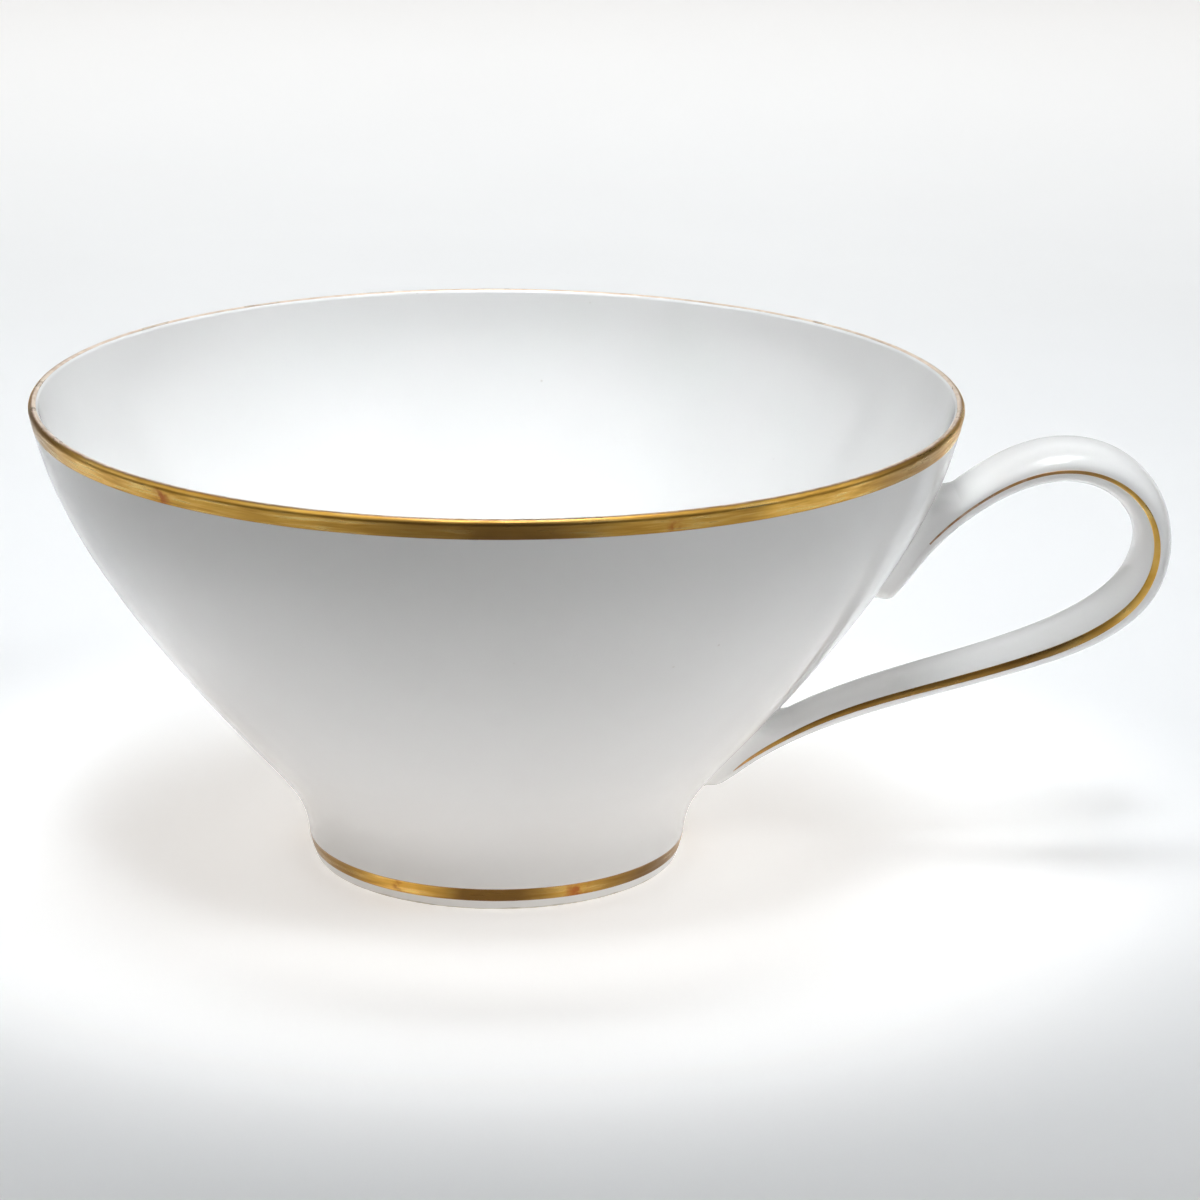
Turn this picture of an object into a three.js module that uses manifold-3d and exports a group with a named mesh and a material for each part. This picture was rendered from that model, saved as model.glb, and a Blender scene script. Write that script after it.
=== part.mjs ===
// A porcelain teacup: a wide conical bowl on a flared foot, with a ribbon handle and gilded edges.
// Millimetres, +Z up, +X towards the handle. The origin is on the resting plane, halfway along the length.
import * as THREE from "three";
import { mergeVertices } from "three/addons/utils/BufferGeometryUtils.js";
import Module from "manifold-3d";

// ---------------------------------------------------------------- driving dimensions
const turnSegments = 64;
const fitGap = 0.25; // clearance between a luted or inlaid piece and its neighbour
const wallThickness = 1.7;
const lipThickness = 1.1; // the wall thins towards the lip
const lipRadius = lipThickness / 2;
const goldDepth = 0.3; // the gold is made thicker than life, and lies flush in a rebate
const rimGoldHeight = 2.15;
const rimGoldWrap = THREE.MathUtils.degToRad(125); // the gold runs over the crest of the rounded lip
const footGoldBottom = 1.15;
const footGoldTop = 2.8;
const recessDepth = 5.5;
const floorThickness = 2.5;
const floorRadius = 12;
const slipThickness = 0.5; // the layer of slip that bonds each end of the handle
const handleLength = 76.6; // from the axis of the bowl to the far side of the handle
const gripGold = { from: 0.09, to: 0.95, steps: 44, depth: 0.4, halfHeight: 0.5 };

// The outside of the cup, as radius and height: the foot's side, its flare and the wall up to the lip.
const footEdge = new THREE.Vector2(20.55, 0);
const footSide = new THREE.Vector2(20.98, 0.4);
const footTop = new THREE.Vector2(21.65, 3);
const recessEdge = new THREE.Vector2(18.2, 0);
const recessCorner = new THREE.Vector2(17, recessDepth);
const flareCurve = new THREE.CubicBezierCurve(
  footTop,
  new THREE.Vector2(22.1, 7.3),
  new THREE.Vector2(24, 9.5),
  new THREE.Vector2(28.95, 15),
);
const wallCurve = new THREE.CubicBezierCurve(
  flareCurve.v3,
  new THREE.Vector2(49.7, 38.5),
  new THREE.Vector2(51.2, 48.5),
  new THREE.Vector2(52.4, 53.47),
);
const seam = 0.5; // where along the flare the foot ring meets the bowl

// Stations along the middle of the handle, from the upper tip round the loop to the lower tip: out from the
// axis, up from the table, half the strap's width, and its half thickness outside and inside the loop.
const handleStations = [
  { out: 43.3, up: 30.5, halfWidth: 4.6, outer: 1.4, inner: 1.5 },
  { out: 46.2, up: 35.0, halfWidth: 5.4, outer: 1.7, inner: 1.6 },
  { out: 49.2, up: 38.6, halfWidth: 5.3, outer: 1.8, inner: 1.6 },
  { out: 54.3, up: 42.9, halfWidth: 5.2, outer: 1.9, inner: 1.7 },
  { out: 61.9, up: 46.3, halfWidth: 5.2, outer: 2.3, inner: 1.9 },
  { out: 68.3, up: 45.8, halfWidth: 5.1, outer: 2.5, inner: 2.0 },
  { out: 73.1, up: 42.0, halfWidth: 4.9, outer: 2.3, inner: 2.1 },
  { out: 74.5, up: 38.0, halfWidth: 4.7, outer: 2.1, inner: 2.1 },
  { out: 73.1, up: 32.0, halfWidth: 4.4, outer: 2.2, inner: 2.3 },
  { out: 68.5, up: 27.6, halfWidth: 4.1, outer: 2.1, inner: 2.4 },
  { out: 60.9, up: 24.1, halfWidth: 3.8, outer: 1.8, inner: 2.2 },
  { out: 48.8, up: 20.4, halfWidth: 3.6, outer: 1.7, inner: 1.9 },
  { out: 36.9, up: 16.4, halfWidth: 3.6, outer: 1.6, inner: 1.6 },
  { out: 31.1, up: 13.4, halfWidth: 3.8, outer: 1.3, inner: 1.5 },
  { out: 27.7, up: 11.1, halfWidth: 3.8, outer: 1.2, inner: 1.4 },
  { out: 24.4, up: 8.0, halfWidth: 3.3, outer: 1.0, inner: 1.2 },
];
const roundedTip = 0.03; // the share of the handle's length that each rounded tip takes
const bluntness = 0.3; // the size of a tip's very end, as a share of the strap's own size
const strapSides = 16;
const strapSteps = 60;

// The oval beds of slip on the wall: the height of their middle and their half sizes.
const upperBed = { height: 36.4, halfLength: 7.6, halfWidth: 6.8 };
const lowerBed = { height: 12.6, halfLength: 5, halfWidth: 5.2 };
const bedReach = 8; // how far an oval reaches through the wall before it is cut to the layer of slip

// ---------------------------------------------------------------- solids
const wasm = await Module();
wasm.setup();

function toSolid(geometry) {
  const bare = geometry.clone();
  bare.deleteAttribute("normal");
  bare.deleteAttribute("uv");
  const merged = mergeVertices(bare, 1e-4);
  const vertProperties = new Float32Array(merged.attributes.position.array);
  const triVerts = new Uint32Array(merged.index.array);
  return new wasm.Manifold(new wasm.Mesh({ numProp: 3, vertProperties, triVerts }));
}

function toGeometry(solid) {
  const { vertProperties, triVerts } = solid.getMesh();
  const geometry = new THREE.BufferGeometry();
  geometry.setAttribute("position", new THREE.BufferAttribute(vertProperties, 3));
  geometry.setIndex(new THREE.BufferAttribute(triVerts, 1));
  geometry.computeVertexNormals();
  return geometry;
}

// Turns a profile of (radius, height) points about the vertical axis.
function turned(profile) {
  const geometry = new THREE.LatheGeometry(profile, turnSegments);
  geometry.rotateX(Math.PI / 2);
  return geometry;
}

// ---------------------------------------------------------------- profiles
// Points along part of a curve, each moved out from it by the given distance.
function along(curve, from, to, count, offset = 0) {
  return Array.from({ length: count + 1 }, (_, i) => {
    const t = THREE.MathUtils.lerp(from, to, i / Math.max(count, 1));
    const tangent = curve.getTangent(t);
    const outward = new THREE.Vector2(tangent.y, -tangent.x);
    return curve.getPoint(t).addScaledVector(outward, offset);
  });
}

// The share of a rising curve at which it reaches a height.
function shareAtHeight(curve, height) {
  let low = 0;
  let high = 1;
  for (let i = 0; i < 40; i += 1) {
    const middle = (low + high) / 2;
    if (curve.getPoint(middle).y < height) low = middle;
    else high = middle;
  }
  return low;
}

const lipTangent = wallCurve.getTangent(1);
const lipCentre = along(wallCurve, 1, 1, 0, -lipRadius)[0];
const lipStart = Math.atan2(-lipTangent.x, lipTangent.y);
const lipEnd = lipStart + Math.PI;
const bowlRadius = lipCentre.x + lipRadius;
const axisX = (bowlRadius - handleLength) / 2;

// Points over the rounded lip between two angles, 0 being straight out from the axis.
function overLip(from, to, count, radius) {
  return Array.from({ length: count + 1 }, (_, i) => {
    const angle = THREE.MathUtils.lerp(from, to, i / count);
    return new THREE.Vector2(
      lipCentre.x + radius * Math.cos(angle),
      lipCentre.y + radius * Math.sin(angle),
    );
  });
}

const goldShare = shareAtHeight(wallCurve, lipCentre.y + lipRadius - rimGoldHeight);

// The face of the rim's gold, from the wall over the lip, at a depth below the glaze.
function rimGoldFace(depth) {
  const onWall = along(wallCurve, goldShare, 1, 2, -depth);
  return [...onWall, ...overLip(lipStart, rimGoldWrap, 4, lipRadius - depth).slice(1)];
}

// A point inside the wall, as deep as the wall is thick there.
function insideOfWall(share) {
  const thickness = THREE.MathUtils.lerp(wallThickness, lipThickness, share ** 2);
  return along(wallCurve, share, share, 0, -thickness)[0];
}

function insideOfBowl() {
  const floorHeight = recessDepth + floorThickness;
  const wall = Array.from({ length: 8 }, (_, i) => insideOfWall(1 - i / 7));
  const foot = wall[wall.length - 1];
  const slope = wallCurve.getTangent(0);
  const reach = (foot.y - floorHeight) / slope.y;
  const corner = new THREE.Vector2(foot.x - reach * slope.x, floorHeight);
  const rounding = new THREE.QuadraticBezierCurve(foot, corner, new THREE.Vector2(floorRadius, floorHeight));
  return [...wall.slice(1), ...rounding.getPoints(4).slice(1), new THREE.Vector2(0, floorHeight)];
}

// ---------------------------------------------------------------- turned pieces
function bowl() {
  return turned([
    new THREE.Vector2(0, recessDepth),
    recessCorner,
    ...along(flareCurve, seam, 1, 3),
    ...along(wallCurve, 0, goldShare, 8).slice(1),
    ...rimGoldFace(goldDepth),
    ...overLip(rimGoldWrap, lipEnd, 3, lipRadius),
    ...insideOfBowl(),
  ]);
}

function goldBandPoint(height) {
  const share = (height - footSide.y) / (footTop.y - footSide.y);
  return footSide.clone().lerp(footTop, share);
}

const footGold = [goldBandPoint(footGoldBottom), goldBandPoint(footGoldTop)];
const footRebate = footGold.map((point) => new THREE.Vector2(point.x - goldDepth, point.y));

function footRing() {
  return turned([
    recessEdge,
    footEdge,
    footSide,
    footGold[0],
    ...footRebate,
    footGold[1],
    ...along(flareCurve, 0, seam, 3),
    recessCorner,
    recessEdge,
  ]);
}

function footGilding() {
  return turned([...footGold, ...footRebate.toReversed(), footGold[0]]);
}

function rimGilding() {
  const face = rimGoldFace(0);
  return turned([...face, ...rimGoldFace(goldDepth).reverse(), face[0]]);
}

// The body of the cup without its inside, grown by a distance: it trims what is luted to the wall.
function cupEnvelope(growth) {
  const flare = along(flareCurve, 0, 1, 8, growth);
  const wall = along(wallCurve, 0, 1, 12, growth).slice(1);
  return toSolid(turned([
    new THREE.Vector2(0, flare[0].y),
    ...flare,
    ...wall,
    new THREE.Vector2(0, wall[wall.length - 1].y),
  ]));
}

// ---------------------------------------------------------------- handle
const handlePath = new THREE.CatmullRomCurve3(
  handleStations.map(({ out, up }) => new THREE.Vector3(out, 0, up)),
);
const handleSizes = new THREE.CatmullRomCurve3(
  handleStations.map(({ halfWidth, outer, inner }) => new THREE.Vector3(halfWidth, outer, inner)),
);

// The strap's half width and half thicknesses at a share of its length, dwindling over each rounded tip.
function strapSection(share) {
  const size = handleSizes.getPoint(share);
  const fromTip = Math.min(share, 1 - share) / roundedTip;
  const tip = Math.max(bluntness, Math.sqrt(1 - Math.max(0, 1 - fromTip) ** 2));
  return { side: 0, halfWidth: size.x * tip, outer: size.y * tip, inner: size.z * tip };
}

// Bends an upright unit piece along the handle: its height follows the path between two shares, its x
// lies through the strap's thickness and its z across the strap.
function bentAlongHandle(geometry, from, to, section) {
  const position = geometry.attributes.position;
  for (let i = 0; i < position.count; i += 1) {
    const share = from + (to - from) * (position.getY(i) + 0.5);
    const { side, halfWidth, outer, inner } = section(share);
    const tangent = handlePath.getTangent(share);
    const through = new THREE.Vector3(-tangent.z, 0, tangent.x);
    const point = handlePath.getPoint(share);
    const x = position.getX(i);
    point.addScaledVector(through, x * (x > 0 ? outer : inner));
    point.y += side + position.getZ(i) * halfWidth;
    position.setXYZ(i, point.x, point.y, point.z);
  }
  return toSolid(geometry);
}

function strap() {
  const rod = new THREE.CylinderGeometry(1, 1, 1, strapSides, strapSteps);
  return bentAlongHandle(rod, 0, 1, strapSection);
}

// A gold line let into one edge of the strap, or with a clearance the groove that holds it.
function edgeLine(side, clearance) {
  const { from, to, steps, depth, halfHeight } = gripGold;
  const spare = clearance / handlePath.getLength();
  const section = (share) => ({
    side: side * (strapSection(share).halfWidth - depth / 2),
    halfWidth: depth / 2 + clearance,
    outer: halfHeight + clearance,
    inner: halfHeight + clearance,
  });
  const bar = new THREE.BoxGeometry(2, 1, 2, 1, steps, 1);
  return bentAlongHandle(bar, from - spare, to + spare, section);
}

function handle() {
  const clearOfWall = strap().subtract(cupEnvelope(slipThickness + 2 * fitGap));
  return toGeometry(clearOfWall.subtract(edgeLine(-1, fitGap)).subtract(edgeLine(1, fitGap)));
}

function handleGilding(side) {
  return toGeometry(edgeLine(side, 0));
}

// An oval bed of slip that follows the wall, with its middle at a height.
function slipBed({ height, halfLength, halfWidth }) {
  const curve = height < wallCurve.v0.y ? flareCurve : wallCurve;
  const share = shareAtHeight(curve, height);
  const centre = curve.getPoint(share);
  const tangent = curve.getTangent(share);
  const oval = new THREE.CylinderGeometry(1, 1, bedReach, 32);
  oval.scale(halfWidth, 1, halfLength);
  oval.rotateZ(-Math.PI / 2);
  oval.rotateY(Math.atan2(tangent.x, tangent.y));
  oval.translate(centre.x, 0, centre.y);
  const layer = cupEnvelope(fitGap + slipThickness).subtract(cupEnvelope(fitGap));
  return toGeometry(layer.intersect(toSolid(oval)));
}

// ---------------------------------------------------------------- materials and assembly
function porcelain() {
  return new THREE.MeshStandardMaterial({ color: 0xe9e8e6, roughness: 0.12, metalness: 0 });
}

function biscuit() {
  return new THREE.MeshStandardMaterial({ color: 0xe4e3e0, roughness: 0.45, metalness: 0 });
}

function gold() {
  return new THREE.MeshStandardMaterial({ color: 0xb8913f, roughness: 0.28, metalness: 1 });
}

function piece(name, geometry, material) {
  const mesh = new THREE.Mesh(geometry, material);
  mesh.name = name;
  return mesh;
}

const teacup = new THREE.Group();
teacup.add(
  piece("bowl", bowl(), porcelain()),
  piece("foot_ring", footRing(), biscuit()),
  piece("handle", handle(), porcelain()),
  piece("upper_handle_joint", slipBed(upperBed), porcelain()),
  piece("lower_handle_joint", slipBed(lowerBed), porcelain()),
  piece("rim_gilding", rimGilding(), gold()),
  piece("foot_gilding", footGilding(), gold()),
  piece("handle_gilding_front", handleGilding(-1), gold()),
  piece("handle_gilding_back", handleGilding(1), gold()),
);
teacup.position.x = axisX;

export default teacup;
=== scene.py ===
"""The looks of a porcelain teacup with a looped ribbon handle and gilded edges, built around its CAD frame.

The cup's outlines are in millimetres, as (distance from the bowl's axis, height above the table), and the
frame's own boxes turn them into metres in place. Patches on materials and the studio are in metres.
"""

import math

import bpy
import numpy as np
from mathutils import Matrix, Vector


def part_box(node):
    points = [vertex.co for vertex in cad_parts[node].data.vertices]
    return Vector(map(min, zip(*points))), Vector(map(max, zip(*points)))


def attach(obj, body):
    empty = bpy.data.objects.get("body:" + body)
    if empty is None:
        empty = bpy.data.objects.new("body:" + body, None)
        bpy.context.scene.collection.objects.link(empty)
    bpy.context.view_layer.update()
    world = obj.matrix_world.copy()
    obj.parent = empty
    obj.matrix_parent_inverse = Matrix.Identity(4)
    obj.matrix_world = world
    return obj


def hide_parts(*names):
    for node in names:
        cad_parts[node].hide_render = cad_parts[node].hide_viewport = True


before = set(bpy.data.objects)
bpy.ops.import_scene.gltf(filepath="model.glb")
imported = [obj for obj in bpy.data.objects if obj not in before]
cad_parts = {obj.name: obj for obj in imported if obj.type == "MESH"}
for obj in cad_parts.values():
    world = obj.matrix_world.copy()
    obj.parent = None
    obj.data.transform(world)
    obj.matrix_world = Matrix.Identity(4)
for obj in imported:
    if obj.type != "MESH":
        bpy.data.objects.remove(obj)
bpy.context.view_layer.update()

# ---------------------------------------------------------------- the frame, and where the cup stands in it
RIM_RADIUS = 52.4
rim_low, rim_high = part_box("rim_gilding")
AXIS_X = (rim_low.x + rim_high.x) / 2
MM = (rim_high.x - rim_low.x) / 2 / RIM_RADIUS

# ---------------------------------------------------------------- sizes of the bowl and its foot
WALL_THICKNESS = 1.7
LIP_THICKNESS = 1.1
LIP_RADIUS = LIP_THICKNESS / 2
FLOOR_HEIGHT = 8.0
FLOOR_RADIUS = 12.0
SEAM = 0.5  # where along the flare the bowl meets the foot ring
FLARE = ((21.65, 3.0), (22.1, 7.3), (24.0, 9.5), (28.95, 15.0))
WALL = ((28.95, 15.0), (49.7, 38.5), (51.2, 48.5), (52.4, 53.47))

FOOT_EDGE_RADIUS = 0.5
FOOT_EDGE_CENTRE = (20.45, FOOT_EDGE_RADIUS)
FOOT_EDGE_TOP = -0.2  # in radians: where the rounded edge runs out into the foot's side
FOOT_SIDE_BEND = ((21.2, 1.2), (21.45, 2.0))
RECESS_DEPTH = 5.5
RECESS_RADIUS = 17.0
RECESS_MOUTH = (18.15, FOOT_EDGE_RADIUS)
INNER_EDGE_CENTRE = (RECESS_MOUTH[0] + FOOT_EDGE_RADIUS, FOOT_EDGE_RADIUS)

AROUND = 288
TINY = 1e-9

# ---------------------------------------------------------------- sizes of the gold
RIM_GOLD_HEIGHT = 2.15
RIM_GOLD_WRAP = math.radians(125)
FOOT_GOLD = (1.15, 2.8)
GOLD_PROUD = 0.03
GOLD_EDGE = 0.1  # over this width each edge of the gold thins away
GOLD_EDGE_DIP = 1.5 * GOLD_PROUD  # how much lower the gold's edges lie than its middle
GOLD_ROOT = 3 * GOLD_PROUD  # how deep the gold's underside lies in the glaze

# Wear runs from 0, full gold, through a pink stain to 1, a pale trace of gold.
PINK_WEAR = 0.5
PINK_EDGE = 0.2  # how far in from its edge the gold is stained
RIM_LEANS = (45, 85, 115, 122)  # in degrees: 0 faces out, 90 up and 180 in
RIM_WEAR = (0, 0.8, 0.8, 0.5)  # how worn the rim is where it leans so

# The gold line on each edge of the handle, by shares of the handle's length.
LINE_SHARES = np.array((0.07, 0.2, 0.35, 0.5, 0.65, 0.8, 0.98))
LINE_WIDTHS = np.array([(0.2,), (0.35,), (0.6,), (1.1,), (1.05,), (0.85,), (0.25,)])
LINE_START = 0.09
LINE_END = 0.975
LINE_STEPS = 9
LINE_SHARPNESS = 6  # how late the line's face turns down towards its edges
LINE_WEAR = 0.8  # how worn a line of no width would be
LINE_WEAR_LOSS = 1.1  # how much less worn it is for each millimetre of its width

# ---------------------------------------------------------------- sizes of the handle and its slip
# Stations along the middle of the handle, from the upper tip round the loop to the lower tip: out from the
# axis, up from the table, half the width, half the thickness on the outside and on the inside of the loop.
HANDLE = np.array([
    (43.3, 30.5, 4.6, 1.4, 1.5),
    (46.2, 35.0, 5.4, 1.7, 1.6),
    (49.2, 38.6, 5.3, 1.8, 1.6),
    (54.3, 42.9, 5.2, 1.9, 1.7),
    (61.9, 46.3, 5.2, 2.3, 1.9),
    (68.3, 45.8, 5.1, 2.5, 2.0),
    (73.1, 42.0, 4.9, 2.3, 2.1),
    (74.5, 38.0, 4.7, 2.1, 2.1),
    (73.1, 32.0, 4.4, 2.2, 2.3),
    (68.5, 27.6, 4.1, 2.1, 2.4),
    (60.9, 24.1, 3.8, 1.8, 2.2),
    (48.8, 20.4, 3.6, 1.7, 1.9),
    (36.9, 16.4, 3.6, 1.6, 1.6),
    (31.1, 13.4, 3.8, 1.3, 1.5),
    (27.7, 11.1, 3.8, 1.2, 1.4),
    (24.4, 8.0, 3.3, 1.0, 1.2),
])
STRAP_ROUNDNESS = 2.3
STRAP_AROUND = 96
STRAP_STATIONS = 620
TIP_LENGTH = 4.5
TIP_LEAST = 0.1  # the share of its width and depth that the strap keeps at its very tips
TIP_BLUNTNESS = 3  # towards a tip the strap stays deep for longer than it stays wide
BED_DEPTH = 0.7  # how deep the strap sinks into the wall

FILLET = 2.3  # how far the slip flares out where it meets the wall
SLIP_STATIONS = 900
SLIP_UNDER = 0.03  # clear of the wall, the slip lies this far under the strap's skin
UPPER_REACH = 25  # how far along the strap from its tip each bed of slip reaches
LOWER_REACH = 20
LEAST_SIDEWAYS = 0.2  # where the strap's skin lies nearly along the wall, the slip flares out less
PACKED_GAP = 2.6  # slip packs the space beside the strap where the gap to the wall is less than this
PACKED_ROUNDNESS = 4.0


# ---------------------------------------------------------------- outlines: rows of radius, height, normal
def with_normals(points, tangents):
    lengths = np.linalg.norm(tangents, axis=1)[:, None]
    unit = tangents / lengths
    return np.column_stack([points, unit[:, 1], -unit[:, 0]])


def bezier(corners, start=0.0, end=1.0, count=48):
    a, b, c, d = (np.array(corner) for corner in corners)
    t = np.linspace(start, end, count)[:, None]
    s = 1 - t
    points = s**3 * a + 3 * s**2 * t * b + 3 * s * t**2 * c + t**3 * d
    tangents = 3 * s**2 * (b - a) + 6 * s * t * (c - b) + 3 * t**2 * (d - c)
    return with_normals(points, tangents)


def arc(centre, radius, start, end, count=16):
    angle = np.linspace(start, end, count)
    ray = np.column_stack([np.cos(angle), np.sin(angle)])
    return np.column_stack([np.array(centre) + radius * ray, ray])


def line(start, end, count=2):
    share = np.linspace(0, 1, count)[:, None]
    points = (1 - share) * np.array(start) + share * np.array(end)
    tangent = np.subtract(end, start) * np.ones((count, 1))
    return with_normals(points, tangent)


def inward(outline):
    """The same outline walked the other way, with its normals turned over."""
    return outline[::-1] * (1, 1, -1, -1)


def joined(*parts):
    """One outline from several, keeping the first of any two points that meet."""
    rows = [parts[0]]
    for part in parts[1:]:
        gap = np.linalg.norm(part[0, :2] - rows[-1][-1, :2])
        rows.append(part[1:] if gap < TINY else part)
    return np.vstack(rows)


wall_end = bezier(WALL, 1, 1, 1)[0]
LIP_CENTRE = wall_end[:2] - LIP_RADIUS * wall_end[2:]
LIP_START = math.atan2(wall_end[3], wall_end[2])
OUTSIDE = joined(bezier(FLARE, count=160), bezier(WALL, count=320))


def share_at_height(corners, height):
    count = 400
    outline = bezier(corners, count=count)
    return float(np.interp(height, outline[:, 1], np.linspace(0, 1, count)))


def inside_outline():
    """The bowl's inside from the lip down: the tapering wall, a rounding and the flat floor."""
    count = 90
    wall = bezier(WALL, count=count)
    share = np.linspace(0, 1, count)
    thickness = WALL_THICKNESS + (LIP_THICKNESS - WALL_THICKNESS) * share**2
    wall[:, :2] -= thickness[:, None] * wall[:, 2:]
    foot, normal = wall[0, :2], wall[0, 2:]
    down = np.array((normal[1], -normal[0]))
    corner = foot + down * (foot[1] - FLOOR_HEIGHT) / -down[1]
    floor_edge = np.array((FLOOR_RADIUS, FLOOR_HEIGHT))
    rounding = bezier((floor_edge, (floor_edge + 2 * corner) / 3, (foot + 2 * corner) / 3, foot), count=40)
    floor = line((0, FLOOR_HEIGHT), floor_edge, count=12)
    return inward(joined(floor, rounding, wall))


def foot_edge():
    return arc(FOOT_EDGE_CENTRE, FOOT_EDGE_RADIUS, -math.pi / 2, FOOT_EDGE_TOP, count=8)


def foot_side(count):
    """The foot's side, from its rounded lower edge up to the flare."""
    return bezier((foot_edge()[-1, :2], *FOOT_SIDE_BEND, FLARE[0]), count=count)


# ---------------------------------------------------------------- meshes
def mesh_piece(name, vertices, faces, normals=None, thin=None):
    """A smooth mesh object; thin gives the wear of its gold, point by point."""
    mesh = bpy.data.meshes.new(name)
    mesh.from_pydata(vertices.tolist(), [], faces)
    mesh.shade_smooth()
    if thin is not None:
        mesh.attributes.new("thin", "FLOAT", "POINT").data.foreach_set("value", thin)
    if normals is not None:
        mesh.normals_split_custom_set_from_vertices(normals.tolist())
    piece = bpy.data.objects.new(name, mesh)
    bpy.context.scene.collection.objects.link(piece)
    return piece


def placed(points):
    """Points in millimetres about the bowl's axis, as metres in the frame."""
    return points * MM + np.array((AXIS_X, 0, 0))


def turned(name, outline, closed, thin=None):
    """A solid turned about the bowl's axis; an open outline starts and ends on the axis."""
    rings = outline if closed else outline[1:-1]
    angle = np.linspace(0, 2 * math.pi, AROUND, endpoint=False)
    ray = np.column_stack([np.cos(angle), np.sin(angle)])
    count = len(rings)

    def spun(radius, height):
        flat = radius[:, None, None] * ray[None]
        up = np.broadcast_to(height[:, None, None], (count, AROUND, 1))
        return np.concatenate([flat, up], axis=2).reshape(-1, 3)

    vertices = spun(rings[:, 0], rings[:, 1])
    normals = spun(rings[:, 2], rings[:, 3])
    steps = count if closed else count - 1
    faces = []
    for i in range(steps):
        low, high = i * AROUND, (i + 1) % count * AROUND
        for j in range(AROUND):
            k = (j + 1) % AROUND
            faces.append((low + j, low + k, high + k, high + j))
    if not closed:
        poles = np.array([(0, 0, outline[0, 1]), (0, 0, outline[-1, 1])])
        bottom, top = len(vertices), len(vertices) + 1
        vertices = np.vstack([vertices, poles])
        normals = np.vstack([normals, [(0, 0, -1), (0, 0, 1)]])
        last = (count - 1) * AROUND
        for j in range(AROUND):
            k = (j + 1) % AROUND
            faces.append((bottom, k, j))
            faces.append((top, last + j, last + k))
    if thin is not None:
        thin = np.repeat(thin, AROUND)
    return mesh_piece(name, placed(vertices), faces, normals, thin)


def tube_faces(rings, around):
    """Quads between rings of points and a cap at each end, for a closed lofted solid."""
    faces = []
    for i in range(rings - 1):
        low, high = i * around, (i + 1) * around
        for j in range(around):
            k = (j + 1) % around
            faces.append((low + j, high + j, high + k, low + k))
    faces.append(tuple(range(around)))
    faces.append(tuple((rings - 1) * around + j for j in reversed(range(around))))
    return faces


# ---------------------------------------------------------------- turned pieces
def make_bowl():
    underside = line((0, RECESS_DEPTH), (RECESS_RADIUS, RECESS_DEPTH), count=8)
    flare = bezier(FLARE, SEAM, 1, count=30)
    wall = bezier(WALL, count=120)
    lip = arc(LIP_CENTRE, LIP_RADIUS, LIP_START, LIP_START + math.pi, count=28)
    outline = joined(underside, flare, wall, lip, inside_outline())
    return turned("bowl_body", outline, closed=False)


def make_foot_ring():
    flare = bezier(FLARE, 0, SEAM, count=30)
    recess = line((RECESS_RADIUS, RECESS_DEPTH), RECESS_MOUTH, count=10)
    inner_edge = arc(INNER_EDGE_CENTRE, FOOT_EDGE_RADIUS, math.pi, 1.5 * math.pi, count=8)
    outline = joined(foot_edge(), foot_side(14), flare, recess, inner_edge)
    return turned("foot_ring_body", outline, closed=True)


def gold_band(name, face, worn=0.0):
    """A thin closed band over a face, proud of it in the middle and sunk at its edges."""
    legs = np.linalg.norm(np.diff(face[:, :2], axis=0), axis=1)
    along = np.concatenate([[0], np.cumsum(legs)])
    from_edge = np.minimum(along, along[-1] - along)
    swell = np.clip(from_edge / GOLD_EDGE, 0, 1)[:, None]
    top, under = face.copy(), inward(face)
    top[:, :2] += (GOLD_PROUD - GOLD_EDGE_DIP * (1 - swell)) * face[:, 2:]
    under[:, :2] += GOLD_ROOT * under[:, 2:]
    stain = PINK_WEAR * np.clip(1 - from_edge / PINK_EDGE, 0, 1)
    thin = np.maximum(worn, stain)
    return turned(name, np.vstack([top, under]), closed=True, thin=np.concatenate([thin, thin[::-1]]))


def make_rim_gilding():
    start = share_at_height(WALL, LIP_CENTRE[1] + LIP_RADIUS - RIM_GOLD_HEIGHT)
    on_wall = bezier(WALL, start, 1, count=30)
    over_lip = arc(LIP_CENTRE, LIP_RADIUS, LIP_START, RIM_GOLD_WRAP, count=30)
    face = joined(on_wall, over_lip)
    lean = np.degrees(np.arctan2(face[:, 3], face[:, 2]))
    return gold_band("rim_gilding_band", face, np.interp(lean, RIM_LEANS, RIM_WEAR))


def make_foot_gilding():
    side = foot_side(80)
    low, high = np.searchsorted(side[:, 1], FOOT_GOLD)
    return gold_band("foot_gilding_band", side[low:high])


# ---------------------------------------------------------------- handle
def natural_spline(knots, values, at):
    """The smooth cubic through rows of values at the knots, with no bend at its ends."""
    count = len(knots)
    step = np.diff(knots)
    system = np.eye(count)
    right = np.zeros_like(values)
    for i in range(1, count - 1):
        system[i, i - 1:i + 2] = step[i - 1], 2 * (step[i - 1] + step[i]), step[i]
        right[i] = 6 * ((values[i + 1] - values[i]) / step[i] - (values[i] - values[i - 1]) / step[i - 1])
    bend = np.linalg.solve(system, right)
    i = np.clip(np.searchsorted(knots, at) - 1, 0, count - 2)
    h = step[i][:, None]
    a = (knots[i + 1] - at)[:, None] / h
    b = 1 - a
    curve = (a**3 - a) * bend[i] + (b**3 - b) * bend[i + 1]
    return a * values[i] + b * values[i + 1] + curve * h**2 / 6


def rounded_tip(share):
    """How full the strap is at a share of the way from its tip to its full section, as a quarter round."""
    return np.sqrt(np.clip(1 - (1 - share) ** 2, TIP_LEAST**2, 1))


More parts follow.
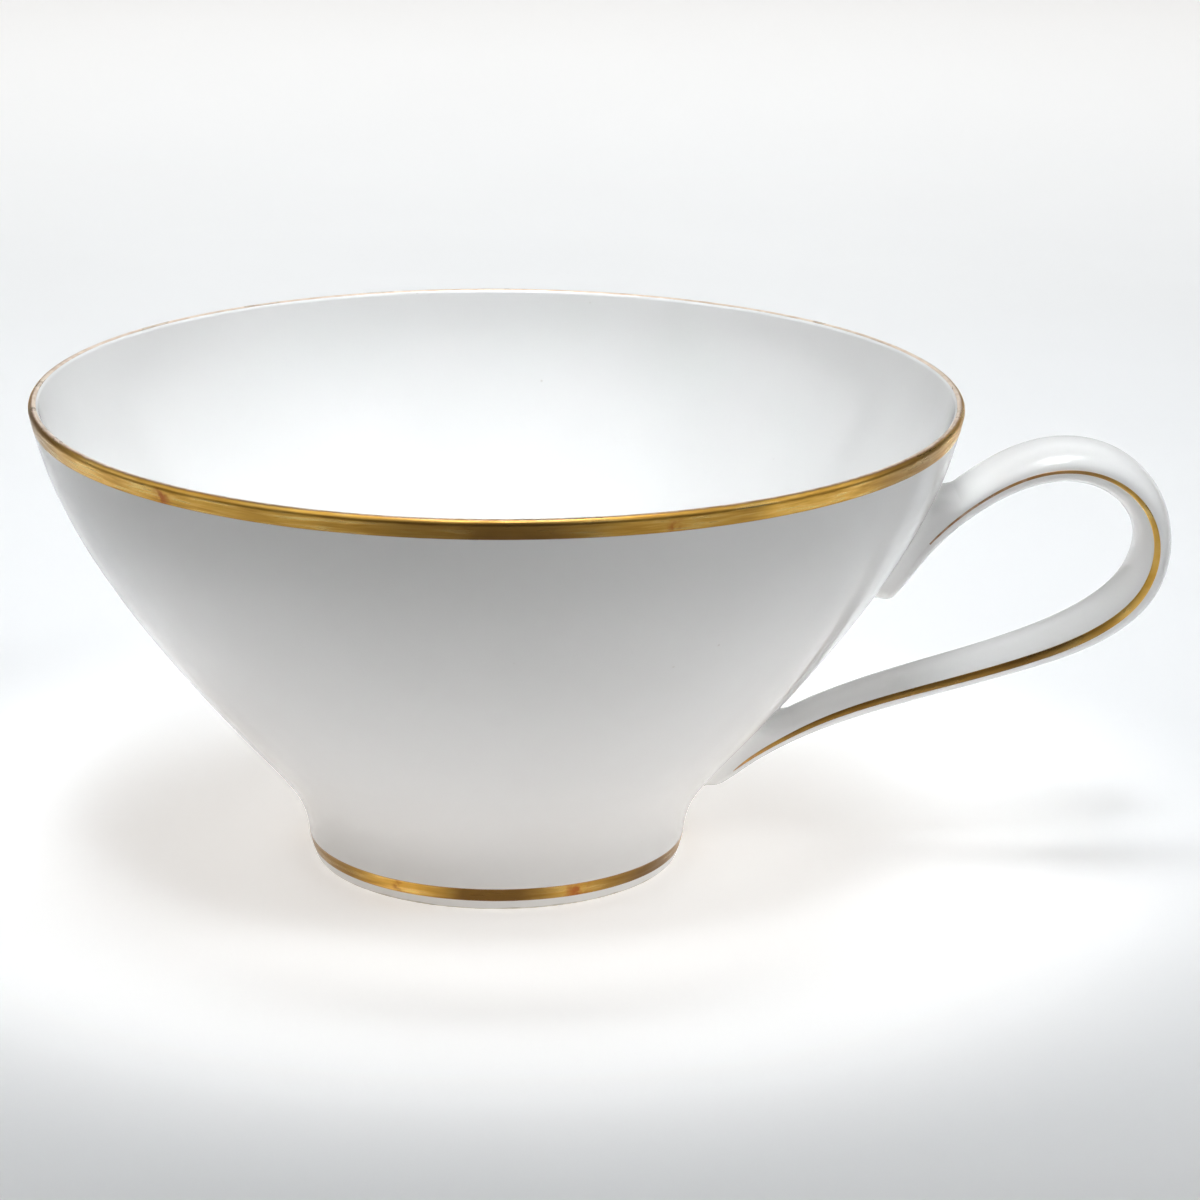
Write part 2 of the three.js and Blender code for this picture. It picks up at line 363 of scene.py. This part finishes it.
class Strap:
    """The handle's smooth middle line and section, sampled evenly along its length."""

    def __init__(self, count):
        legs = np.linalg.norm(np.diff(HANDLE[:, :2], axis=0), axis=1)
        knots = np.concatenate([[0], np.cumsum(legs)])
        self.length = knots[-1]
        self.along = np.linspace(0, self.length, count)
        rows = natural_spline(knots, HANDLE, self.along)
        self.middle = np.column_stack([rows[:, 0], np.zeros(count), rows[:, 1]])
        tangent = np.gradient(rows[:, :2], axis=0)
        tangent /= np.linalg.norm(tangent, axis=1)[:, None]
        self.through = np.column_stack([-tangent[:, 1], np.zeros(count), tangent[:, 0]])
        from_tip = np.clip(np.minimum(self.along, self.length - self.along) / TIP_LENGTH, 0, 1)
        self.half_width = rows[:, 2] * rounded_tip(from_tip)
        depth_tip = rounded_tip(np.clip(TIP_BLUNTNESS * from_tip, 0, 1))
        self.outer = rows[:, 3] * depth_tip
        self.inner = rows[:, 4] * depth_tip

    def point(self, through, across):
        """Points at distances through and across the strap, one row of them for each station."""
        return (self.middle[:, None] + through[..., None] * self.through[:, None]
                + across[..., None] * np.array((0, 1, 0)))

    def surface(self, wall_side=1, fill=0.0, extra=0.0):
        """The strap's skin; fill squares up the half of its section on the wall's side, extra deepens it."""
        angle = np.linspace(0, 2 * math.pi, STRAP_AROUND, endpoint=False)
        cos, sin = np.cos(angle), np.sin(angle)
        packed = cos * wall_side > 0
        power = 2 / (STRAP_ROUNDNESS + PACKED_ROUNDNESS * np.where(packed, np.reshape(fill, (-1, 1)), 0))
        depth = np.where(cos > 0, self.outer[:, None], self.inner[:, None])
        depth = depth + np.where(packed, np.reshape(extra, (-1, 1)), 0)
        through = depth * np.sign(cos) * np.abs(cos) ** power
        across = self.half_width[:, None] * np.sign(sin) * np.abs(sin) ** power
        return self.point(through, across)

    def packing(self, wall_side):
        """How fully slip packs the gap to the wall, and how deep that makes it at each station."""
        depth = self.outer if wall_side > 0 else -self.inner
        gap = np.maximum(0, wall_distance(self.middle + depth[:, None] * self.through)[0])
        share = np.clip(1 - gap / PACKED_GAP, 0, 1)
        fill = share**2 * (3 - 2 * share)
        return fill, fill * (gap + BED_DEPTH)


def wall_distance(points):
    """Each point's distance out from the cup's outside, with the outward direction there."""
    radius = np.hypot(points[:, 0], points[:, 1])
    nearest = np.empty(len(points), int)
    batch = 4000
    for start in range(0, len(points), batch):
        rows = slice(start, start + batch)
        gap = np.hypot(radius[rows, None] - OUTSIDE[None, :, 0], points[rows, 2, None] - OUTSIDE[None, :, 1])
        nearest[rows] = gap.argmin(axis=1)
    place, normal = OUTSIDE[nearest, :2], OUTSIDE[nearest, 2:]
    offset = np.column_stack([radius, points[:, 2]]) - place
    distance = (offset * normal).sum(axis=1)
    ray = points[:, :2] / radius[:, None]
    outward = np.column_stack([ray * normal[:, :1], normal[:, 1]])
    return distance, outward


def surface_normals(grid):
    """Outward directions of a lofted grid of points, rows of rings."""
    along = np.gradient(grid, axis=0)
    around = np.roll(grid, -1, axis=1) - np.roll(grid, 1, axis=1)
    normal = np.cross(along, around)
    length = np.linalg.norm(normal, axis=2)[..., None]
    return normal / np.maximum(length, TINY)


def sunk_into_wall(points, depth):
    """Points no deeper behind the cup's outside than a depth."""
    distance, outward = wall_distance(points)
    return points + np.maximum(0, -depth - distance)[:, None] * outward


def make_strap():
    grid = Strap(STRAP_STATIONS).surface()
    points = sunk_into_wall(grid.reshape(-1, 3), BED_DEPTH)
    return mesh_piece("handle_strap", placed(points), tube_faces(len(grid), STRAP_AROUND))


def make_slip(name, reach, at_lower_end):
    """The fired slip round one end of the strap: it packs the gap to the wall and flares out over it."""
    strap = Strap(SLIP_STATIONS)
    wall_side = -1 if at_lower_end else 1
    grid = strap.surface(wall_side, *strap.packing(wall_side))
    from_tip = strap.length - strap.along if at_lower_end else strap.along
    normal = surface_normals(grid)[from_tip < reach].reshape(-1, 3)
    points = grid[from_tip < reach].reshape(-1, 3)
    distance, outward = wall_distance(points)
    sideways = normal - (normal * outward).sum(axis=1)[:, None] * outward
    sideways /= np.maximum(np.linalg.norm(sideways, axis=1), LEAST_SIDEWAYS)[:, None]
    short = FILLET - np.clip(distance, 0, FILLET)
    flare = FILLET - np.sqrt(FILLET**2 - short**2) - SLIP_UNDER
    points = sunk_into_wall(points + flare[:, None] * sideways, BED_DEPTH)
    return mesh_piece(name, placed(points), tube_faces(len(points) // STRAP_AROUND, STRAP_AROUND))


def make_grip_gilding(name, side):
    """A gold line on one edge of the strap, thin at its ends and widest round the far bend."""
    strap = Strap(STRAP_STATIONS)
    widths = natural_spline(LINE_SHARES * strap.length, LINE_WIDTHS, strap.along)[:, 0]
    rows = (strap.along > LINE_START * strap.length) & (strap.along < LINE_END * strap.length)
    share = np.linspace(-1, 1, LINE_STEPS)
    through = widths[:, None] / 2 * share
    depth = np.where(share > 0, strap.outer[:, None], strap.inner[:, None])
    fullness = np.clip(1 - np.abs(through / depth) ** STRAP_ROUNDNESS, 0, 1)
    edge = strap.half_width[:, None] * fullness ** (1 / STRAP_ROUNDNESS)
    proud = GOLD_PROUD - GOLD_EDGE_DIP * share**LINE_SHARPNESS
    top = strap.point(through, side * (edge + proud))
    under = strap.point(through[:, ::-1], side * (edge[:, ::-1] - GOLD_ROOT))
    grid = np.concatenate([top, under], axis=1)[rows]
    if side > 0:
        grid = grid[:, ::-1]
    faces = tube_faces(len(grid), grid.shape[1])
    thin = np.clip(LINE_WEAR - LINE_WEAR_LOSS * widths[rows], 0, PINK_WEAR)
    return mesh_piece(name, placed(grid.reshape(-1, 3)), faces, thin=np.repeat(thin, grid.shape[1]))


# ---------------------------------------------------------------- wiring a procedural material
class Nodes:
    """A small helper for wiring one procedural material."""

    def __init__(self, name):
        self.material = bpy.data.materials.new(name)
        self.material.use_nodes = True
        self.tree = self.material.node_tree
        self.shader = self.tree.nodes["Principled BSDF"]
        self.place = self.add("ShaderNodeTexCoord").outputs["Object"]

    def add(self, kind, **settings):
        node = self.tree.nodes.new(kind)
        for name, value in settings.items():
            setattr(node, name, value)
        return node

    def link(self, source, target):
        self.tree.links.new(source, target)

    def noise(self, scale, detail=3.0, stretch=(1, 1, 1), distortion=0.0):
        mapping = self.add("ShaderNodeMapping")
        mapping.inputs["Scale"].default_value = stretch
        self.link(self.place, mapping.inputs["Vector"])
        noise = self.add("ShaderNodeTexNoise")
        noise.inputs["Scale"].default_value = scale
        noise.inputs["Detail"].default_value = detail
        noise.inputs["Distortion"].default_value = distortion
        self.link(mapping.outputs["Vector"], noise.inputs["Vector"])
        return noise.outputs["Fac"]

    def nearest_dot(self, scale):
        """Distance to the nearest of many scattered points."""
        cells = self.add("ShaderNodeTexVoronoi")
        cells.inputs["Scale"].default_value = scale
        self.link(self.place, cells.inputs["Vector"])
        return cells.outputs["Distance"]

    def ramp(self, value, *stops):
        ramp = self.add("ShaderNodeValToRGB")
        elements = ramp.color_ramp.elements
        while len(elements) < len(stops):
            elements.new(0.5)
        for element, (position, colour) in zip(elements, stops):
            element.position = position
            element.color = (*colour, 1)
        self.link(value, ramp.inputs["Fac"])
        return ramp.outputs["Color"]

    def between(self, value, source, target):
        """A value's place in the source range, carried over to the target range and held inside it."""
        node = self.add("ShaderNodeMapRange")
        node.inputs["From Min"].default_value = source[0]
        node.inputs["From Max"].default_value = source[1]
        node.inputs["To Min"].default_value = target[0]
        node.inputs["To Max"].default_value = target[1]
        self.link(value, node.inputs["Value"])
        return node.outputs["Result"]

    def reckoned(self, operation, first, second):
        node = self.add("ShaderNodeMath", operation=operation)
        self.link(first, node.inputs[0])
        self.link(second, node.inputs[1])
        return node.outputs["Value"]

    def times(self, first, second):
        return self.reckoned("MULTIPLY", first, second)

    def plus(self, first, second):
        return self.reckoned("ADD", first, second)

    def mix(self, factor, first, second):
        node = self.add("ShaderNodeMix", data_type="RGBA")
        self.link(factor, node.inputs["Factor"])
        for socket, colour in (("A", first), ("B", second)):
            target = next(s for s in node.inputs if s.name == socket and s.type == "RGBA")
            if isinstance(colour, tuple):
                target.default_value = (*colour, 1)
            else:
                self.link(colour, target)
        return next(s for s in node.outputs if s.type == "RGBA")

    def pool(self, centre, radii, strength):
        """A round patch that fades out between two radii."""
        distance = self.add("ShaderNodeVectorMath", operation="DISTANCE")
        self.link(self.place, distance.inputs[0])
        distance.inputs[1].default_value = centre
        patch = self.between(distance.outputs["Value"], radii, (strength, 0.0))
        patch.node.interpolation_type = "SMOOTHSTEP"
        return patch

    def sum_of(self, start, pools):
        for pool in pools:
            start = self.plus(start, self.pool(*pool))
        return start

    def bump(self, height, distance, strength, under=None):
        node = self.add("ShaderNodeBump")
        node.inputs["Distance"].default_value = distance
        node.inputs["Strength"].default_value = strength
        self.link(height, node.inputs["Height"])
        if under is not None:
            self.link(under, node.inputs["Normal"])
        self.link(node.outputs["Normal"], self.shader.inputs["Normal"])
        return node.outputs["Normal"]


NOISE_RANGE = (0.3, 0.7)  # most of a noise lies in this range
NONE_TO_FULL = (0.0, 1.0)
FULL_TO_NONE = (1.0, 0.0)

# ---------------------------------------------------------------- porcelain
PORCELAIN = (0.905, 0.90, 0.89)
PALER = 1.03
IRON_SPECK = (0.46, 0.38, 0.30)
SPECK_SIZE = 0.09  # a speck's radius, as a share of the usual distance between two
SPECK_STRENGTH = 0.35
SPECKLED = (0.64, 0.68)  # specks come in over this range of a noise, which is reached in few places
GLAZE_IOR = 1.52
GLAZE_ROUGHNESS = (0.07, 0.12)
CLEAN_CLAY = (0.79, 0.77, 0.72)
SOILED_CLAY = (0.62, 0.58, 0.51)
BARE_ROUGHNESS = (0.1, 0.6)  # where the glaze covers the foot, and where the clay is bare
BARE_HEIGHT = 0.0003  # in metres: below this the foot ring has no glaze
BARE_SOFTNESS = 0.00004
BARE_EDGE_WANDER = 0.00008


def glaze(name):
    """Clear glossy glaze over white porcelain, with the faint ripple, clouding and pin marks of the kiln."""
    nodes = Nodes(name)
    glaze_coat(nodes, clouded(nodes))
    return nodes.material


def clouded(nodes):
    """The body's colour, a little paler in places, with a few tiny iron specks under the glaze."""
    paler = tuple(PALER * part for part in PORCELAIN)
    cloud = nodes.ramp(nodes.noise(scale=35, detail=4), (0.35, PORCELAIN), (0.7, paler))
    speck = nodes.between(nodes.nearest_dot(scale=420), (0.0, SPECK_SIZE), FULL_TO_NONE)
    rare = nodes.between(nodes.noise(scale=90, detail=2), SPECKLED, (0.0, SPECK_STRENGTH))
    return nodes.mix(nodes.times(speck, rare), cloud, IRON_SPECK)


def glaze_coat(nodes, colour):
    nodes.link(colour, nodes.shader.inputs["Base Color"])
    rough = nodes.between(nodes.noise(scale=60, detail=3), NOISE_RANGE, GLAZE_ROUGHNESS)
    nodes.link(rough, nodes.shader.inputs["Roughness"])
    nodes.shader.inputs["IOR"].default_value = GLAZE_IOR
    ripple = nodes.bump(nodes.noise(scale=140, detail=2), distance=0.0002, strength=0.12)
    nodes.bump(nodes.noise(scale=1400, detail=2), distance=0.00002, strength=0.15, under=ripple)


def foot_glaze(name):
    """Glaze that stops short of the flat ring underneath, which stays bare, matt and slightly soiled."""
    nodes = Nodes(name)
    uneven = nodes.noise(scale=300, detail=3)
    wander = nodes.between(uneven, NOISE_RANGE, (-BARE_EDGE_WANDER, BARE_EDGE_WANDER))
    height = nodes.add("ShaderNodeSeparateXYZ")
    nodes.link(nodes.place, height.inputs["Vector"])
    edge = nodes.plus(height.outputs["Z"], wander)
    soft_edge = (BARE_HEIGHT - BARE_SOFTNESS, BARE_HEIGHT + BARE_SOFTNESS)
    bare = nodes.between(edge, soft_edge, FULL_TO_NONE)
    clay = nodes.ramp(nodes.noise(scale=700, detail=6), (0.35, CLEAN_CLAY), (0.6, SOILED_CLAY))
    glaze_coat(nodes, nodes.mix(bare, clouded(nodes), clay))
    rough = nodes.between(bare, NONE_TO_FULL, BARE_ROUGHNESS)
    nodes.link(rough, nodes.shader.inputs["Roughness"])
    return nodes.material


# ---------------------------------------------------------------- gold
BRIGHT_GOLD = ((0.3, (0.60, 0.31, 0.05)), (0.5, (0.80, 0.46, 0.09)), (0.7, (0.95, 0.66, 0.22)))
# Dark gold: mixed in at random where the gold clouds over, and in the patches below as painted dark
# reflection.
DULL_GOLD_AND_DARK_REFLECTION = (0.18, 0.095, 0.025)
PINK_STAIN = (0.45, 0.25, 0.15)
PALE_TRACE = (0.85, 0.71, 0.57)
RUBBED_RED = (0.40, 0.11, 0.03)
CLOUDS = (0.46, 0.62)  # the range of a noise over which the gold clouds over
CLOUD_STRENGTH = 0.35
STAINED = (0.15, 0.5)  # the range of wear over which the gold turns pink
STAIN_STRENGTH = 0.85
TRACE_LEFT = (0.4, 0.85)  # the range of wear over which it thins to a pale trace
FLECKS = (0.42, 0.58)  # the range of a noise over which a worn spot breaks up
RAGGEDNESS = 0.12
GOLD_ROUGHNESS = (0.40, 0.24)
GOLD_METALLIC = (1, 0.1)  # where the gold is full, and where it is down to a trace
BAND_STREAKS = (1, 1, 14)  # how much finer the streaks are along X, Y and Z
LINE_STREAKS = (1, 1, 1)


def on_cup(azimuth, radius, height):
    """A place on the cup in metres: azimuth in degrees, from the front towards the handle."""
    angle = math.radians(azimuth)
    return placed(np.array((radius * math.sin(angle), -radius * math.cos(angle), height)))


# The middle of each gold band: its distance from the axis and its height.
RIM_BAND = (52.3, 53)
FOOT_BAND = (21.3, 2)

# Where the gold carries painted dark reflections, and where it is rubbed down: a place, a fading patch's
# radii, a strength.
# Painted dark reflection: the gold darkened on the front and far sides of the rim and foot bands.
PAINTED_DARK_REFLECTIONS = (
    (on_cup(-3, *RIM_BAND), (0.005, 0.019), 0.78),
    (on_cup(-74, *RIM_BAND), (0.004, 0.016), 0.5),
    (on_cup(58, *RIM_BAND), (0.003, 0.012), 0.6),
    (on_cup(0, *FOOT_BAND), (0.002, 0.010), 1.0),
    (on_cup(-66, *FOOT_BAND), (0.005, 0.012), 0.7),
    (on_cup(60, *FOOT_BAND), (0.005, 0.016), 0.6),
    # Painted dark reflection on the handle's gold lines, on the lower arm and the top of the loop.
    (placed(np.array((50, 0, 21))), (0.016, 0.026), 0.75),
    (placed(np.array((60, 0, 46))), (0.006, 0.014), 0.6),
)
WORN_SPOTS = (
    (on_cup(-42, 52.1, 52.8), (0.0002, 0.0017), 0.9),
    (on_cup(20.5, 52.3, 52.6), (0.0002, 0.0013), 0.8),
    (on_cup(-31, 21.3, 2.0), (0.0001, 0.0011), 1.0),
    (on_cup(25, 21.3, 1.9), (0.0003, 0.0022), 0.9),
)


def gold(name, stretch):
    """Burnished gold: streaked and clouded, darkened in patches by painted dark reflection, thin and pink at
    its edges, rubbed down to red in some spots.
    """
    nodes = Nodes(name)
    streaks = nodes.noise(scale=170, detail=6, stretch=stretch, distortion=0.3)
    bright = nodes.ramp(streaks, *BRIGHT_GOLD)
    clouds = nodes.noise(scale=32, detail=3, distortion=0.4)
    dull = nodes.between(clouds, CLOUDS, (0.0, CLOUD_STRENGTH))
    # Random clouds dull the gold; the fixed patches added to them are painted dark reflection.
    colour = nodes.mix(nodes.sum_of(dull, PAINTED_DARK_REFLECTIONS), bright, DULL_GOLD_AND_DARK_REFLECTION)
    wear = worn_thin(nodes)
    colour = nodes.mix(nodes.between(wear, STAINED, (0.0, STAIN_STRENGTH)), colour, PINK_STAIN)
    trace = nodes.between(wear, TRACE_LEFT, NONE_TO_FULL)
    colour = nodes.mix(trace, colour, PALE_TRACE)
    rubbed = rubbed_down(nodes)
    colour = nodes.mix(rubbed, colour, RUBBED_RED)
    nodes.link(colour, nodes.shader.inputs["Base Color"])
    nodes.link(nodes.between(trace, NONE_TO_FULL, GOLD_METALLIC), nodes.shader.inputs["Metallic"])
    rough = nodes.between(streaks, NOISE_RANGE, GOLD_ROUGHNESS)
    nodes.link(rough, nodes.shader.inputs["Roughness"])
    brushed = nodes.bump(streaks, distance=0.00003, strength=0.5)
    nodes.bump(rubbed, distance=-0.00003, strength=0.6, under=brushed)
    return nodes.material


def worn_thin(nodes):
    """The wear that the mesh carries, made ragged."""
    thin = nodes.add("ShaderNodeAttribute", attribute_name="thin").outputs["Fac"]
    ragged = nodes.between(nodes.noise(scale=900, detail=4), NOISE_RANGE, (-RAGGEDNESS, RAGGEDNESS))
    return nodes.plus(thin, ragged)


def rubbed_down(nodes):
    """The worn spots, broken up into flecks."""
    flecks = nodes.between(nodes.noise(scale=800, detail=4), FLECKS, NONE_TO_FULL)
    spots = nodes.sum_of(nodes.pool(*WORN_SPOTS[0]), WORN_SPOTS[1:])
    return nodes.times(spots, flecks)


# ---------------------------------------------------------------- assembly
def finish_piece(piece, material, node):
    piece.data.materials.append(material)
    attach(piece, "root")
    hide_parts(node)


def build_cup():
    body = glaze("glazed_porcelain")
    slip = glaze("fired_slip")
    gilt = gold("burnished_gold", BAND_STREAKS)
    line_gilt = gold("burnished_line_gold", LINE_STREAKS)
    finish_piece(make_bowl(), body, "bowl")
    finish_piece(make_foot_ring(), foot_glaze("foot_porcelain"), "foot_ring")
    finish_piece(make_strap(), body, "handle")
    upper = make_slip("upper_joint_slip", UPPER_REACH, at_lower_end=False)
    finish_piece(upper, slip, "upper_handle_joint")
    lower = make_slip("lower_joint_slip", LOWER_REACH, at_lower_end=True)
    finish_piece(lower, slip, "lower_handle_joint")
    finish_piece(make_rim_gilding(), gilt, "rim_gilding")
    finish_piece(make_foot_gilding(), gilt, "foot_gilding")
    front = make_grip_gilding("grip_gilding_front", -1)
    finish_piece(front, line_gilt, "handle_gilding_front")
    back = make_grip_gilding("grip_gilding_back", 1)
    finish_piece(back, line_gilt, "handle_gilding_back")


# ---------------------------------------------------------------- studio
TABLE_HALF = 4.0
TABLE_GAP = 0.00005
TABLE_SHADES = ((0.3, (0.795, 0.795, 0.795)), (0.7, (0.81, 0.81, 0.81)))
TABLE_ROUGHNESS = 0.9
TABLE_SPECULAR = 0.1
TABLE_GLOW = ((AXIS_X, 0, 0), (0.03, 0.10), 0.48)
BACK_GLOW = ((0, 2.2, 0), (1.5, 2.1), 0.42)
COOL_WHITE = (0.93, 0.97, 1.0)
WARM_WHITE = (1.0, 0.96, 0.92)
ROOM_COLOUR = (1.0, 0.92, 0.85)
ROOM_STRENGTH = 0.13

CUP_MIDDLE = (AXIS_X, 0, 0.03)
HANDLE_MIDDLE = (AXIS_X + 0.06, 0, 0.03)
BEHIND_CUP = 0.28

CAMERA_LENS = 134.9
SENSOR_WIDTH = 36.0
CAMERA_CLIP = 0.01
CAMERA_PLACE = np.array((0, -490.6, 179.3))  # in millimetres, about the bowl's axis
CAMERA_PITCH = math.radians(16.94)
CAMERA_YAW = math.radians(1.37)
CAMERA_ROLL = math.radians(0.51)


def make_floor():
    """A pale table a hair below the cup, glowing softly from below round it."""
    corners = np.array([(-1, -1, 0), (1, -1, 0), (1, 1, 0), (-1, 1, 0)]) * TABLE_HALF + (0, 0, -TABLE_GAP)
    floor = mesh_piece("floor", corners, [(0, 1, 2, 3)])
    nodes = Nodes("pale_table")
    shade = nodes.ramp(nodes.noise(scale=18, detail=4), *TABLE_SHADES)
    nodes.link(shade, nodes.shader.inputs["Base Color"])
    nodes.shader.inputs["Roughness"].default_value = TABLE_ROUGHNESS
    nodes.shader.inputs["Specular IOR Level"].default_value = TABLE_SPECULAR
    glow = nodes.plus(nodes.pool(*TABLE_GLOW), nodes.pool(*BACK_GLOW))
    nodes.shader.inputs["Emission Color"].default_value = (*WARM_WHITE, 1)
    nodes.link(glow, nodes.shader.inputs["Emission Strength"])
    floor.data.materials.append(nodes.material)


def looking(place, forward, roll=0.0):
    """A camera's or a lamp's matrix, from where it stands and the way it looks."""
    forward = forward / np.linalg.norm(forward)
    right = np.cross(forward, (0, 0, 1))
    if np.linalg.norm(right) < TINY:
        right = np.array((1.0, 0, 0))
    right /= np.linalg.norm(right)
    up = np.cross(right, forward)
    turned_right = math.cos(roll) * right + math.sin(roll) * up
    turned_up = math.cos(roll) * up - math.sin(roll) * right
    matrix = np.eye(4)
    matrix[:3, :4] = np.column_stack([turned_right, turned_up, -forward, place])
    return Matrix(matrix.tolist())


def area_light(name, place, target, size, power, spread=180, lights=True, mirrored=True):
    """A rectangular lamp; a narrow spread is a grid over it, and it may only light or only be mirrored."""
    light = bpy.data.lights.new(name, "AREA")
    light.shape = "RECTANGLE"
    light.size, light.size_y = size
    light.color = COOL_WHITE
    light.energy = power
    light.spread = math.radians(spread)
    lamp = bpy.data.objects.new(name, light)
    lamp.visible_diffuse = lights
    lamp.visible_glossy = mirrored
    place, target = np.array(place), np.array(target)
    lamp.matrix_world = looking(place, target - place)
    bpy.context.scene.collection.objects.link(lamp)


def make_lights():
    """Soft light from behind and above, touches from the front and the right, and cards to be mirrored."""
    area_light("low_back", place=(0, 1.2, 0.3), target=CUP_MIDDLE, size=(1.6, 0.5), power=0.6)
    area_light("strip_back", place=(0, 1.0, 0.62), target=CUP_MIDDLE, size=(1.3, 0.2), power=0.85)
    area_light("grid_above", place=(AXIS_X, BEHIND_CUP, 0.9), target=(AXIS_X, BEHIND_CUP, 0),
               size=(0.7, 0.7), power=1.15, spread=40)
    area_light("grid_front", place=(AXIS_X, -0.28, 0.85), target=(AXIS_X, 0.06, 0.02),
               size=(0.3, 0.3), power=0.13, spread=25)
    area_light("side_right", place=(0.75, -0.25, 0.62), target=HANDLE_MIDDLE,
               size=(0.3, 0.3), power=0.045, spread=18, mirrored=False)
    area_light("card_front", place=(AXIS_X, -0.57, 0.82), target=CUP_MIDDLE,
               size=(1.6, 1.1), power=4.4, lights=False)
    for name, x in (("card_left", -0.95), ("card_right", 0.95)):
        area_light(name, place=(x, -0.05, 0.7), target=CUP_MIDDLE, size=(1.4, 1.0), power=3.2, lights=False)


def make_room():
    """Dim, warm light from all round."""
    world = bpy.data.worlds.new("studio")
    world.use_nodes = True
    background = world.node_tree.nodes["Background"]
    background.inputs["Color"].default_value = (*ROOM_COLOUR, 1)
    background.inputs["Strength"].default_value = ROOM_STRENGTH
    bpy.context.scene.world = world


def make_camera():
    camera = bpy.data.cameras.new("camera")
    camera.sensor_width = SENSOR_WIDTH
    camera.lens = CAMERA_LENS
    camera.clip_start = CAMERA_CLIP
    ahead = math.cos(CAMERA_PITCH)
    forward = np.array((math.sin(CAMERA_YAW) * ahead, math.cos(CAMERA_YAW) * ahead, -math.sin(CAMERA_PITCH)))
    holder = bpy.data.objects.new("camera", camera)
    holder.matrix_world = looking(placed(CAMERA_PLACE), forward, CAMERA_ROLL)
    bpy.context.scene.collection.objects.link(holder)
    bpy.context.scene.camera = holder


build_cup()
make_floor()
make_lights()
make_room()
make_camera()
bpy.context.scene.view_settings.view_transform = "Standard"
